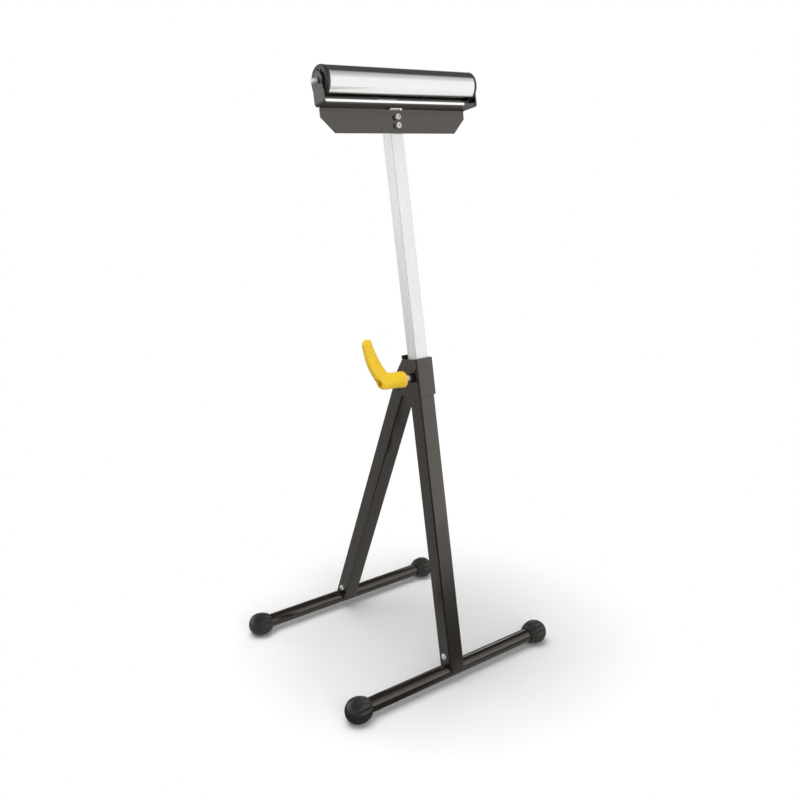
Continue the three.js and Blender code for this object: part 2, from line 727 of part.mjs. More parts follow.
// Post with the roller bracket on its top
const post = new THREE.Group();
frontLeg.add(post);
const postBody = squareTube(postWidth, postWall, postCorner, postBottom, postTop);
addPiece(post, "post_tube", cut(postBody, ...headBoltHoles()), zinc);
addPiece(post, "post_end_plug", postPlug(), blackPlastic);
addPiece(post, "roller_bracket", rollerBracket(), blackPaint);
["upper", "lower"].forEach((place, i) => {
  addPiece(post, `head_bolt_${place}`, headBolt(headBoltHeights[i]), zinc);
  const seat = postWidth / 2 + fitGap;
  const bore = headBoltDiameter + 2 * runningGap;
  const nut = nutY(headNutFlats, bore, seat, seat + headNutHeight, 0, headBoltHeights[i]);
  addPiece(post, `head_nut_${place}`, nut, zinc);
});

// Axle and roller, about the axle's own line
const roller = new THREE.Group();
roller.position.set(0, -rollerForward, rollerHeight);
post.add(roller);
const axleReach = earOuter + axleEnd;
addPiece(roller, "roller_axle", barX(axleDiameter, -axleReach, axleReach, 0, 0), zinc);
const tubeEnd = rollerLength / 2 - endPlugRim - fitGap;
const rollerTube = ringX(rollerBore, rollerDiameter, -tubeEnd, tubeEnd, rollerSides);
addPiece(roller, "roller_tube", solid(rollerTube), chrome);

const bearingFace = rollerLength / 2 - bearingInset;
const bearingMiddle = bearingFace - bearingWidth / 2;
const axleBore = axleDiameter + 2 * fitGap;
const clip = solid(ringX(axleBore, clipDiameter, earOuter + fitGap, earOuter + fitGap + clipThickness));
const spacer = solid(ringX(axleBore, spacerDiameter, bearingFace + fitGap, earInner - fitGap));
[["right", 0], ["left", halfTurn]].forEach(([place, turn]) => {
  const placed = (body) => body.rotate([0, 0, turn]);
  addPiece(roller, `roller_plug_${place}`, placed(rollerPlug()), blackPlastic);
  addPiece(roller, `axle_clip_${place}`, placed(clip), steel);
  addPiece(roller, `axle_spacer_${place}`, placed(spacer), steel);
  const inPlace = (body) => placed(body.translate([bearingMiddle, 0, 0]));
  addPiece(roller, `bearing_inner_${place}`, inPlace(bearingInner()), steel);
  addPiece(roller, `bearing_outer_${place}`, inPlace(bearingOuter()), steel);
  addPiece(roller, `bearing_balls_${place}`, inPlace(bearingBalls()), steel);
});

export default stand;
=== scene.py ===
"""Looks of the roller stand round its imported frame: fine meshes, finishes, floor, light and camera."""
import json
import math

import bmesh
import bpy
from mathutils import Matrix, Vector


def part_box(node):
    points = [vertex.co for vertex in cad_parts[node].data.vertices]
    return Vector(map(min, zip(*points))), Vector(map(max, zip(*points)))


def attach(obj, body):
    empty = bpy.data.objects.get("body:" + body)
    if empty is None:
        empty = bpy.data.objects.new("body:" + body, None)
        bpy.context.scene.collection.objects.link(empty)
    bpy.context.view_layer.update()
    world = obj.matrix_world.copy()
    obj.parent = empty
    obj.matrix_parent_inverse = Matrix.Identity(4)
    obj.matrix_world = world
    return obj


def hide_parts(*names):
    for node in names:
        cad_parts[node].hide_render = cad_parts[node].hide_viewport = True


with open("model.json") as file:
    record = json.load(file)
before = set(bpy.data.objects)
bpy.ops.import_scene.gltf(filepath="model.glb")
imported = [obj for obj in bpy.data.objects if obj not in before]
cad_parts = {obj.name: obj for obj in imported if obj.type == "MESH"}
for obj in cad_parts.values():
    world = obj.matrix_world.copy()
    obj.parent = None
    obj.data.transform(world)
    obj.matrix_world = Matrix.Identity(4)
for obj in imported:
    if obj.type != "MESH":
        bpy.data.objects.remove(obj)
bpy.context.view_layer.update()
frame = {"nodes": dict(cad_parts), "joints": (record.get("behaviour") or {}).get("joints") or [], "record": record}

record = frame["record"]
joints = {joint["name"]: joint for joint in frame["joints"]}
node_body = {node: body for body, nodes in record["behaviour"]["bodies"].items() for node in nodes}
node_slot = {part["node"]: part["material_slot"] for part in record["subparts"]}

# Pieces are drawn in millimetres, each in its own place, and a place turns them into the frame's metres
MM = 0.001
X, Y, Z = 0, 1, 2
ACROSS = Vector((1, 0, 0))
UPRIGHT = Vector((0, 0, 1))

# Clearances and soft edges, with angles in degrees
GAP = 0.3
PLAY = 0.4
OVERCUT = 1
EDGE = 0.35
FINE_EDGE = 0.2
EDGE_STEPS = 3
BRACKET_EDGE = 0.8
ROLLER_EDGE = 0.5
BEVEL_FROM = 38
SHARP_FROM = 32

# Facets of round shapes
ROUND = 64
SMALL_ROUND = 40
ROLLER_ROUND = 144
CORNER_STEPS = 6
BEND_STEPS = 10
DOME_STEPS = 12
EAR_STEPS = 40

# Hexagon nuts: points along a flat, the end faces' share of the flats, slope of the turned corners
HEX = 6
FLAT_STEPS = 8
NUT_FACE = 0.97
NUT_SLOPE = 30

# Square tubes and foot bars
LEG_WALL = 2.5
LEG_CORNER = 3
POST_WALL = 1.5
POST_CORNER = 1.2
FOOT_WALL = 1.5

# Rubber caps, with flutes whose half width is a share of their pitch
CAP_SLEEVE = 28
CAP_SEAT = 6
CAP_LIP = 2.2
CAP_ROUND = 160
CAP_ROWS = 30
NECK_ROWS = 14
FLUTES = 8
FLUTE_DEPTH = 2.2
FLUTE_WIDTH = 0.26
FLUTE_FROM = -24
FLUTE_TO = 15

# Foot bolts and nuts
FOOT_BOLT_HEIGHT = 28
FOOT_BOLT = 6
FOOT_BOLT_HEAD = 12
FOOT_BOLT_HEAD_HEIGHT = 4
FOOT_NUT = (10, 5)
BOLT_LIP = 1.2
BOLT_END = 2

# Hinge bracket
BRACKET_SHEET = 2.5
BRACKET_BEND = 4
STOP_SHEET = 3
PIN = 8
PIN_HEAD = 14
PIN_HEAD_HEIGHT = 3.5
PIN_NUT = (13, 6.5)

# Clamp screw, nut and handle
SCREW = 10
SCREW_PITCH = 1.5
THREAD_DEPTH = 0.7
THREAD_STEPS = 6
CLAMP_NUT = (17, 6)
HANDLE_ROUND = 64
HANDLE_STEPS = 8
HANDLE_EDGE = 1.2
RECESS = 17
RECESS_RISE = 2
RECESS_FLOOR = 43

# Roller bracket
CRADLE_SHEET = 2.5
EAR_BEND = 5
PLATE_BEND = 7
PLATE_WIDTH = 297
PLATE_CHAMFER = 25
RELIEF_SLACK = 1
RELIEF_DROP = 4.4
RELIEF_REACH = 2
ROLLER_RISE = 34

# Head bolts
HEAD_BOLT = 6
HEAD_BOLT_HEAD = 10
HEAD_BOLT_HEAD_HEIGHT = 6
HEAD_SOCKET = 6
HEAD_SOCKET_DEPTH = 3
HEAD_NUT = (10, 5)
KNURLS = 30
KNURL_POINTS = 4
KNURL_DEPTH = 0.14
KNURL_LEAD = 0.4
KNURL_START = 0.9
KNURL_END = 0.5

# Roller, plugs and axle
ROLLER_WALL = 1.2
PLUG_RIM = 5.5
RIM_ROUND = 2.4
RIM_STEP = 0.6
RIM_WIDTH = 1.2
PLUG_DEPTH = 18
PLUG_FACE = 5
PLUG_SKIRT = 2
PLUG_HUB = 1.7
POCKETS = 12
POCKET_INNER = 13.6
POCKET_OUTER = 18.2
POCKET_WIDTH = 4.6
POCKET_DEPTH = 3
BEARING = 22
BEARING_WIDTH = 7
BEARING_INSET = 2
BEARING_SHOULDER = 2
BEARING_MOUTH = 7.1
AXLE = 8
AXLE_CHAMFER = 0.8
CLIP_OPENING = 50
CLIP_THICKNESS = 1


def centre(node):
    """Middle of a CAD node's box."""
    low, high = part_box(node)
    return (low + high) / 2


def place_along(origin, up):
    """Place at a point, its Z along up and its X across the stand, that takes millimetres."""
    rise = up.normalized()
    turn = Matrix((ACROSS, rise.cross(ACROSS), rise)).transposed().to_4x4()
    return Matrix.Translation(origin) @ turn @ Matrix.Scale(MM, 4)


slide_axis = Vector(joints["height_slide"]["axis"])
hinge_point = Vector(joints["rear_leg_fold"]["pos_m"])
clamp_point = Vector(joints["clamp_turn"]["pos_m"])
axle_point = Vector(joints["roller_spin"]["pos_m"])
front = place_along(centre("front_foot_bar"), slide_axis)
rear = place_along(centre("rear_foot_bar"), hinge_point - centre("rear_foot_bar"))
head = place_along(axle_point, slide_axis)
leg_places = {"front": front, "rear": rear}
foot_places = {side: place_along(centre(f"{side}_foot_bar"), UPRIGHT) for side in leg_places}


def local(place, point):
    """A point of the frame, in a place's millimetres."""
    return place.inverted() @ point


def local_box(node, place):
    """Lowest and highest corner of a CAD node, in a place's millimetres."""
    points = [local(place, vertex.co) for vertex in frame["nodes"][node].data.vertices]
    low, high = ([pick(point[axis] for point in points) for axis in (X, Y, Z)] for pick in (min, max))
    return Vector(low), Vector(high)


# Shapes

def arc(middle, radius, start, end, steps):
    """Points on a circle's arc, with angles in degrees."""
    turns = [math.radians(start + (end - start) * i / steps) for i in range(steps + 1)]
    return [(middle[0] + radius * math.cos(t), middle[1] + radius * math.sin(t)) for t in turns]


def circle(sides):
    """Cosine and sine pairs round a full turn."""
    turns = [2 * math.pi * i / sides for i in range(sides)]
    return [(math.cos(t), math.sin(t)) for t in turns]


def face_out(mesh):
    """Turns a closed mesh's faces outwards."""
    shape = bmesh.new()
    shape.from_mesh(mesh)
    bmesh.ops.recalc_face_normals(shape, faces=shape.faces)
    shape.to_mesh(mesh)
    shape.free()


def skin(rings, looped=False):
    """Mesh over rings of equal length. Looped joins the last to the first, or else both ends close."""
    sides, rows = len(rings[0]), len(rings)
    faces = []
    for row in range(rows if looped else rows - 1):
        here, there = row * sides, (row + 1) % rows * sides
        for i in range(sides):
            after = (i + 1) % sides
            faces.append((here + i, here + after, there + after, there + i))
    if not looped:
        faces += [tuple(range(sides)), tuple(range((rows - 1) * sides, rows * sides))]
    mesh = bpy.data.meshes.new("shape")
    mesh.from_pydata([point for ring in rings for point in ring], [], faces)
    face_out(mesh)
    return mesh


def turned(profile, sides, looped=False):
    """Mesh turned about X from (radius, x) points."""
    return skin([[(x, r * c, r * s) for c, s in circle(sides)] for r, x in profile], looped)


def moved(mesh, offset):
    """Mesh shifted by an offset."""
    mesh.transform(Matrix.Translation(offset))
    return mesh


def for_end(mesh, name):
    """A right-hand mesh, turned about for the left end."""
    if name == "left":
        mesh.transform(Matrix.Rotation(math.pi, 4, "Z"))
    return mesh


def rod(diameter, low, high, y=0, z=0, sides=SMALL_ROUND):
    """Solid round bar along X."""
    return moved(turned([(diameter / 2, low), (diameter / 2, high)], sides), (0, y, z))


def rod_y(diameter, low, high, z):
    """Solid round bar along Y."""
    outline = [(diameter / 2 * c, z + diameter / 2 * s) for c, s in circle(SMALL_ROUND)]
    return prism(outline, Y, low, high)


def pipe(bore, diameter, low, high, sides=ROUND):
    """Hollow round bar along X."""
    inner, outer = bore / 2, diameter / 2
    return turned([(outer, low), (outer, high), (inner, high), (inner, low)], sides, looped=True)


def prism(outline, axis, low, high):
    """Mesh of a flat outline pushed along an axis. Its two coordinates are the other axes, in order."""
    rings = [[(*point[:axis], level, *point[axis:]) for point in outline] for level in (low, high)]
    return skin(rings)


def block(low, high):
    """Box between two corners."""
    outline = [(low[X], low[Y]), (high[X], low[Y]), (high[X], high[Y]), (low[X], high[Y])]
    return prism(outline, Z, low[Z], high[Z])


def rounded_square(width, corner):
    """Outline of a square with round corners."""
    flat = width / 2 - corner
    corners = [(flat, -flat), (flat, flat), (-flat, flat), (-flat, -flat)]
    starts = [90 * i - 90 for i in range(len(corners))]
    outline = []
    for middle, start in zip(corners, starts):
        outline += arc(middle, corner, start, start + 90, CORNER_STEPS)
    return outline


def channel(outer, sheet, bend, middle, top):
    """Outline of sheet bent up on both sides to a top, with the middles of its bends at a height."""
    inner, inside, side = outer - sheet, bend - sheet, outer - bend
    outline = [(outer, top), (inner, top)]
    outline += arc((side, middle), inside, 0, -90, BEND_STEPS)
    outline += arc((-side, middle), inside, -90, -180, BEND_STEPS)
    outline += [(-inner, top), (-outer, top)]
    outline += arc((-side, middle), bend, -180, -90, BEND_STEPS)
    return outline + arc((side, middle), bend, -90, 0, BEND_STEPS)


def square_tube(width, wall, corner, low, high):
    """Square tube along Z."""
    outer = rounded_square(width, corner)
    inner = rounded_square(width - 2 * wall, max(corner - wall, GAP))
    stations = [(outer, low), (outer, high), (inner, high), (inner, low)]
    return skin([[(*point, level) for point in outline] for outline, level in stations], looped=True)


def carved(mesh, *tools, operation="DIFFERENCE"):
    """Mesh with tool meshes taken from it, joined to it, or only what they have in common."""
    body = bpy.data.objects.new("body", mesh)
    made = [body]
    for tool in tools:
        cutter = bpy.data.objects.new("tool", tool)
        made.append(cutter)
        step = body.modifiers.new("carve", "BOOLEAN")
        step.operation = operation
        step.solver = "EXACT"
        step.object = cutter
    for item in made:
        bpy.context.scene.collection.objects.link(item)
    ready = body.evaluated_get(bpy.context.evaluated_depsgraph_get())
    result = bpy.data.meshes.new_from_object(ready)
    for item in made:
        bpy.data.objects.remove(item)
    return result


def hex_nut(size, bore):
    """Hexagon nut along X from x = 0, its corners turned off at both ends."""
    flats, height = size
    sides = HEX * FLAT_STEPS
    turns = [(i % FLAT_STEPS / FLAT_STEPS - 0.5) * 2 * math.pi / HEX for i in range(sides)]
    reach = [flats / 2 / math.cos(turn) for turn in turns]
    drop = [(r - flats / 2) * math.tan(math.radians(NUT_SLOPE)) for r in reach]

    def ring(radii, levels):
        """Points round the nut at their own radii and levels."""
        return [(x, r * c, r * s) for r, x, (c, s) in zip(radii, levels, circle(sides))]

    face = [flats / 2 * NUT_FACE] * sides
    hole = [bore / 2] * sides
    rings = [ring(hole, [0] * sides), ring(face, [0] * sides), ring(reach, drop)]
    rings.append(ring(reach, [height - d for d in drop]))
    rings += [ring(face, [height] * sides), ring(hole, [height] * sides)]
    return skin(rings, looped=True)


def domed_bolt(shank, cap, cap_height, lip, seat, end):
    """Bolt along X: a dome on a straight lip to the left of its seat, and a shank to its end."""
    profile = [(shank / 2, end), (shank / 2, seat), (cap / 2, seat), (cap / 2, seat - lip)]
    for i in range(1, DOME_STEPS):
        turn = i / DOME_STEPS * math.pi / 2
        profile.append((cap / 2 * math.cos(turn), seat - lip - (cap_height - lip) * math.sin(turn)))
    return turned(profile, SMALL_ROUND)


# Finishes

# Most of a noise lies between these
NOISE_LOW = 0.3
NOISE_HIGH = 0.7


def noise(tree, scale, detail=4, stretch=(1, 1, 1), turn=0):
    """Noise over a piece, stretched along the axes of a place that leans about X."""
    nodes, links = tree.nodes, tree.links
    where = nodes.new("ShaderNodeTexCoord")
    mapping = nodes.new("ShaderNodeMapping")
    mapping.inputs["Rotation"].default_value = (turn, 0, 0)
    mapping.inputs["Scale"].default_value = stretch
    texture = nodes.new("ShaderNodeTexNoise")
    texture.inputs["Scale"].default_value = scale
    texture.inputs["Detail"].default_value = detail
    links.new(where.outputs["Object"], mapping.inputs["Vector"])
    links.new(mapping.outputs["Vector"], texture.inputs["Vector"])
    return texture.outputs["Fac"]


def spread(tree, value, start, end, low=0.0, high=1.0, interpolation="LINEAR"):
    """A value between start and end, spread from low to high."""
    node = tree.nodes.new("ShaderNodeMapRange")
    node.interpolation_type = interpolation
    for name, number in (("From Min", start), ("From Max", end), ("To Min", low), ("To Max", high)):
        node.inputs[name].default_value = number
    tree.links.new(value, node.inputs["Value"])
    return node.outputs["Result"]


def blended(tree, share, one, other):
    """Colour between two others."""
    node = tree.nodes.new("ShaderNodeMix")
    node.data_type = "RGBA"
    node.inputs["A"].default_value = (*one, 1)
    node.inputs["B"].default_value = (*other, 1)
    tree.links.new(share, node.inputs["Factor"])
    return node.outputs["Result"]


def relief(tree, shader, height, strength, depth):
    """Fine bumps of a depth in millimetres."""
    node = tree.nodes.new("ShaderNodeBump")
    node.inputs["Strength"].default_value = strength
    node.inputs["Distance"].default_value = depth * MM
    tree.links.new(height, node.inputs["Height"])
    tree.links.new(node.outputs["Normal"], shader.inputs["Normal"])


def finish(name, metallic=0.0, ior=1.5):
    """New material, with its node tree and its shader."""
    material = bpy.data.materials.new(name)
    material.use_nodes = True
    shader = material.node_tree.nodes["Principled BSDF"]
    shader.inputs["Metallic"].default_value = metallic
    shader.inputs["IOR"].default_value = ior
    return material, material.node_tree, shader


def colour(tree, shader, share, one, other):
    """Base colour between two others."""
    tree.links.new(blended(tree, share, one, other), shader.inputs["Base Color"])


def roughness(tree, shader, share, low, high):
    """Roughness that follows a noise from low to high."""
    tree.links.new(spread(tree, share, NOISE_LOW, NOISE_HIGH, low, high), shader.inputs["Roughness"])


lean = math.atan2(slide_axis.y, slide_axis.z)


def black_paint():
    """Gloss black paint with a faint orange peel and a slightly warm tone."""
    material, tree, shader = finish("black_paint", ior=1.9)
    shader.inputs["Specular Tint"].default_value = (1, 0.935, 0.86, 1)
    patches = noise(tree, scale=9, detail=3)
    colour(tree, shader, patches, (0.0112, 0.0086, 0.006), (0.0165, 0.0127, 0.0088))
    roughness(tree, shader, noise(tree, scale=35, detail=5), low=0.07, high=0.13)
    relief(tree, shader, noise(tree, scale=420, detail=2), strength=0.06, depth=0.12)
    return material


def zinc_plate():
    """Bright zinc on drawn steel: faint lines along the post and a cloudy tone."""
    material, tree, shader = finish("zinc_plate", metallic=0.6)
    clouds = noise(tree, scale=26, detail=5)
    lines = noise(tree, scale=260, detail=2, stretch=(1, 1, 0.012), turn=lean)
    colour(tree, shader, clouds, (0.86, 0.86, 0.856), (0.93, 0.93, 0.926))
    roughness(tree, shader, lines, low=0.26, high=0.36)
    relief(tree, shader, lines, strength=0.03, depth=0.05)
    return material


def chrome_plate():
    """Polished chrome with faint marks round the roller."""
    material, tree, shader = finish("chrome_plate", metallic=1.0)
    haze = noise(tree, scale=14)
    rings = noise(tree, scale=700, detail=2, stretch=(1, 0.02, 0.02))
    colour(tree, shader, haze, (0.87, 0.868, 0.86), (0.92, 0.918, 0.91))
    roughness(tree, shader, haze, low=0.035, high=0.085)
    relief(tree, shader, rings, strength=0.02, depth=0.02)
    return material


def turned_steel():
    """Bare machined steel with turning marks."""
    material, tree, shader = finish("turned_steel", metallic=1.0)
    marks = noise(tree, scale=1100, detail=3, stretch=(1, 0.05, 0.05))
    colour(tree, shader, noise(tree, scale=60), (0.15, 0.15, 0.152), (0.24, 0.242, 0.247))
    roughness(tree, shader, marks, low=0.25, high=0.42)
    relief(tree, shader, marks, strength=0.1, depth=0.05)
    return material


def black_rubber():
    """Moulded rubber: a soft sheen, a fine grain and dusty patches."""
    material, tree, shader = finish("black_rubber", ior=1.6)
    dust = noise(tree, scale=45, detail=6)
    colour(tree, shader, dust, (0.016, 0.0145, 0.0125), (0.03, 0.027, 0.0235))
    roughness(tree, shader, noise(tree, scale=130, detail=5), low=0.24, high=0.38)
    relief(tree, shader, noise(tree, scale=1500, detail=3), strength=0.25, depth=0.15)
    return material


def black_plastic():
    """Moulded nylon: satin, with a light grain."""
    material, tree, shader = finish("black_plastic", ior=1.65)
    colour(tree, shader, noise(tree, scale=60), (0.015, 0.0145, 0.014), (0.026, 0.025, 0.0245))
    roughness(tree, shader, noise(tree, scale=220), low=0.2, high=0.32)
    relief(tree, shader, noise(tree, scale=1800, detail=2), strength=0.15, depth=0.08)
    return material


def yellow_plastic():
    """Moulded yellow plastic: satin, with flow marks and a fine grain."""
    material, tree, shader = finish("yellow_plastic")
    flow = noise(tree, scale=30, stretch=(1, 1, 0.4))
    colour(tree, shader, flow, (0.87, 0.555, 0.018), (0.93, 0.615, 0.03))
    roughness(tree, shader, noise(tree, scale=160), low=0.32, high=0.46)
    relief(tree, shader, noise(tree, scale=1300, detail=2), strength=0.12, depth=0.1)
    return material


finishes = {
    "black_paint": black_paint(),
    "zinc": zinc_plate(),
    "chrome": chrome_plate(),
    "steel": turned_steel(),
    "black_rubber": black_rubber(),
    "black_plastic": black_plastic(),
    "yellow_plastic": yellow_plastic(),
}
for node, item in frame["nodes"].items():
    item.data.materials.clear()
    item.data.materials.append(finishes[node_slot[node]])


def dress(node, mesh, place, edge=EDGE):
    """Shows a fine mesh in place of a CAD node, on its body and in its finish, with soft edges."""
    mesh.transform(place)
    mesh.materials.clear()
    mesh.materials.append(finishes[node_slot[node]])
    mesh.polygons.foreach_set("use_smooth", [True] * len(mesh.polygons))
    mesh.set_sharp_from_angle(angle=math.radians(SHARP_FROM))
    piece = bpy.data.objects.new(f"{node}_fine", mesh)
    bpy.context.scene.collection.objects.link(piece)
    if edge:
        bevel = piece.modifiers.new("soft_edges", "BEVEL")
        bevel.width = edge * MM
        bevel.segments = EDGE_STEPS
        bevel.limit_method = "ANGLE"
        bevel.angle_limit = math.radians(BEVEL_FROM)
        bevel.harden_normals = True
    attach(piece, node_body[node])
    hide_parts(node)


# Foot bars, rubber caps, bolts and legs

leg_low, leg_high = local_box("front_leg_tube", front)
leg_width = leg_high.x - leg_low.x
bar_low, bar_high = local_box("front_foot_bar", foot_places["front"])
foot_diameter = bar_high.z - bar_low.z
cap_low, cap_high = local_box("front_foot_cap_right", foot_places["front"])
cap_radius = cap_high.z
cap_centre = cap_high.x - cap_radius


def flute(turn, x):
    """Depth of the rubber cap's leaf-shaped grooves at an angle and a place along the cap."""
    half = (FLUTE_TO - FLUTE_FROM) / 2
    along = (x - FLUTE_FROM - half) / half
    leaf = math.sqrt(max(0, 1 - along * along))
    across = abs((turn * FLUTES / (2 * math.pi)) % 1 - 0.5)
    dip = 1 - across / (FLUTE_WIDTH * leaf) if leaf else 0
    return FLUTE_DEPTH * leaf * max(0, dip)


def foot_cap():
    """Rubber ball about its own centre: a neck with a bore for the bar, flutes, and flat underneath."""
    bore = foot_diameter / 2 + GAP
    lip, mouth = bore + CAP_LIP, CAP_SLEEVE - CAP_SEAT
    start = math.acos(lip / cap_radius)
    neck = mouth / math.sin(start)
    profile = []
    for row in range(NECK_ROWS):
        turn = start * (1 - row / NECK_ROWS)
        profile.append((cap_radius * math.cos(turn), -neck * math.sin(turn)))
    for row in range(CAP_ROWS):
        turn = math.pi / 2 * row / CAP_ROWS
        profile.append((cap_radius * math.cos(turn), cap_radius * math.sin(turn)))
    rings = [[(x, bore * c, bore * s) for c, s in circle(CAP_ROUND)] for x in (CAP_SEAT, -mouth)]
    for radius, x in profile:
        ring = []
        for i, (c, s) in enumerate(circle(CAP_ROUND)):
            reach = radius - flute(2 * math.pi * i / CAP_ROUND, x)
            ring.append((x, reach * c, max(reach * s, cap_low.z)))
        rings.append(ring)
    return skin(rings)


def foot_bolt_pieces(side, place):
    """Bolt and nut that hold a leg on its foot bar's stub."""
    seat = leg_width / 2 + GAP
    end = seat + FOOT_NUT[1] + BOLT_END
    bolt = domed_bolt(FOOT_BOLT, FOOT_BOLT_HEAD, FOOT_BOLT_HEAD_HEIGHT, BOLT_LIP, -seat, end)
    dress(f"{side}_foot_bolt", moved(bolt, (0, 0, FOOT_BOLT_HEIGHT)), place, FINE_EDGE)
    nut = hex_nut(FOOT_NUT, FOOT_BOLT + 2 * PLAY)
    dress(f"{side}_foot_nut", moved(nut, (seat, 0, FOOT_BOLT_HEIGHT)), place, FINE_EDGE)


def leg_tube(top, *holes):
    """Leg of square tube, seated over its foot bar."""
    tube = square_tube(leg_width, LEG_WALL, LEG_CORNER, 0, top)
    saddle = rod(foot_diameter + 2 * GAP, -leg_width, leg_width, sides=ROUND)
    bolt_hole = rod(FOOT_BOLT + 2 * PLAY, -leg_width, leg_width, z=FOOT_BOLT_HEIGHT)
    return carved(tube, saddle, bolt_hole, *holes)


for side, place in foot_places.items():
    bar = pipe(foot_diameter - 2 * FOOT_WALL, foot_diameter, bar_low.x, bar_high.x)
    dress(f"{side}_foot_bar", bar, place)
    for name in ("right", "left"):
        cap = moved(foot_cap(), (cap_centre, 0, 0))
        dress(f"{side}_foot_cap_{name}", for_end(cap, name), place)
    foot_bolt_pieces(side, leg_places[side])

clamp = local(front, clamp_point)
hinge = local(front, hinge_point)
screw_hole = rod(SCREW + 2 * PLAY, -leg_width, 0, z=clamp.z)
dress("front_leg_tube", leg_tube(leg_high.z, screw_hole), front)

rear_top = local_box("rear_leg_tube", rear)[1].z
pin_hole = rod(PIN + 2 * PLAY, -leg_width, leg_width, z=local(rear, hinge_point).z)
dress("rear_leg_tube", leg_tube(rear_top, pin_hole), rear)


# Hinge bracket, stop plate and hinge pin

bracket_low, bracket_high = local_box("hinge_bracket", front)
stop_low, stop_high = local_box("fold_stop_plate", front)
cheek_outer = bracket_high.x
through = 2 * cheek_outer
cheek_round = bracket_high.y - hinge.y


def bracket_outline():
    """Side outline of the hinge bracket: a web in front, cheeks tapering back round the hinge pin."""
    corner = Vector((stop_high.y, bracket_high.z))
    away = corner - Vector((hinge.y, hinge.z))
    top = math.degrees(math.atan2(away.y, away.x) - math.acos(cheek_round / away.length))
    outline = [(-cheek_outer, bracket_low.z)]
    outline += arc((hinge.y, hinge.z), cheek_round, -90, top, BEND_STEPS)
    return [*outline, tuple(corner), (-cheek_outer, bracket_high.z)]


def hinge_bracket():
    """Bent channel round the leg, trimmed to its side outline, with holes for the pin and the screw."""
    back = bracket_high.y + BRACKET_SHEET
    outline = channel(cheek_outer, BRACKET_SHEET, BRACKET_BEND, BRACKET_BEND - cheek_outer, back)
    sheet = prism(outline, Z, bracket_low.z - GAP, bracket_high.z + GAP)
    side = prism(bracket_outline(), X, -through, through)
    pin_bore = rod(PIN + 2 * GAP, -through, through, hinge.y, hinge.z)
    screw_bore = rod(SCREW + 2 * PLAY, -through, 0, z=clamp.z)
    return carved(carved(sheet, side, operation="INTERSECT"), pin_bore, screw_bore)


def stop_plate():
    """Cross plate between the cheeks, with a wider head that rests on them."""
    half = cheek_outer - BRACKET_SHEET - GAP
    shoulder = bracket_high.z + GAP
    side = [(half, stop_low.z), (half, shoulder), (cheek_outer, shoulder), (cheek_outer, stop_high.z)]
    mirrored = [(-x, z) for x, z in reversed(side)]
    return prism(side + mirrored, Y, stop_high.y - STOP_SHEET, stop_high.y)


dress("hinge_bracket", hinge_bracket(), front, BRACKET_EDGE)
dress("fold_stop_plate", stop_plate(), front)
pin_seat = cheek_outer + GAP
pin_end = pin_seat + PIN_NUT[1] + BOLT_END
pin = domed_bolt(PIN, PIN_HEAD, PIN_HEAD_HEIGHT, BOLT_LIP, -pin_seat, pin_end)
dress("hinge_pin", moved(pin, (0, hinge.y, hinge.z)), front, FINE_EDGE)
pin_nut = hex_nut(PIN_NUT, PIN + 2 * PLAY)
dress("hinge_nut", moved(pin_nut, (pin_seat, hinge.y, hinge.z)), front, FINE_EDGE)


# Clamp nut, screw and handle

screw_low, screw_high = local_box("clamp_screw", front)
handle_low, handle_high = local_box("clamp_handle", front)
handle_start = -handle_high.x


def clamp_screw():
    """Screw with a rolled thread along its whole length."""
    rows = round((screw_high.x - screw_low.x) / SCREW_PITCH * THREAD_STEPS)
    rings = []
    for row in range(rows + 1):
        x = screw_low.x + (screw_high.x - screw_low.x) * row / rows
        ring = []
        for i, (c, s) in enumerate(circle(SMALL_ROUND)):
            phase = ((x - screw_low.x) / SCREW_PITCH + i / SMALL_ROUND) % 1
            radius = SCREW / 2 - THREAD_DEPTH * abs(2 * phase - 1)
            ring.append((x, radius * c, radius * s + clamp.z))
        rings.append(ring)
    return skin(rings)


def smooth_stations(knots, steps):
    """Stations on a smooth line through knots whose first four numbers are two points of a plane."""
    middles = [((a + c) / 2, (b + d) / 2) for a, b, c, d, *_ in knots]
    spans = [math.dist(start, end) for start, end in zip(middles, middles[1:])]
    slopes = [[(q - p) / span for p, q in zip(*ends)] for *ends, span in zip(knots, knots[1:], spans)]
    bends = [slopes[0]]
    for before, after, here, there in zip(slopes, slopes[1:], spans, spans[1:]):
        bends.append([(p * there + q * here) / (here + there) for p, q in zip(before, after)])
    bends.append(slopes[-1])
    stations = []
    for start, end, leave, arrive, span in zip(knots, knots[1:], bends, bends[1:], spans):
        for t in (step / steps for step in range(steps)):
            weights = [(1 + 2 * t) * (1 - t) ** 2, t * t * (3 - 2 * t)]
            weights += [span * t * (1 - t) ** 2, span * t * t * (t - 1)]
            columns = zip(start, end, leave, arrive)
            stations.append([sum(w * v for w, v in zip(weights, column)) for column in columns])
    return [*stations, list(knots[-1])]


def oval(across, width, depth, square):
    """Offsets round a section whose corners fill out as square grows from 2."""
    points = []
    for c, s in circle(HANDLE_ROUND):
        wide = math.copysign(abs(c) ** (2 / square), c) * width / 2
        deep = math.copysign(abs(s) ** (2 / square), s) * depth / 2
        points.append(across * wide + Vector((0, deep, 0)))
    return points


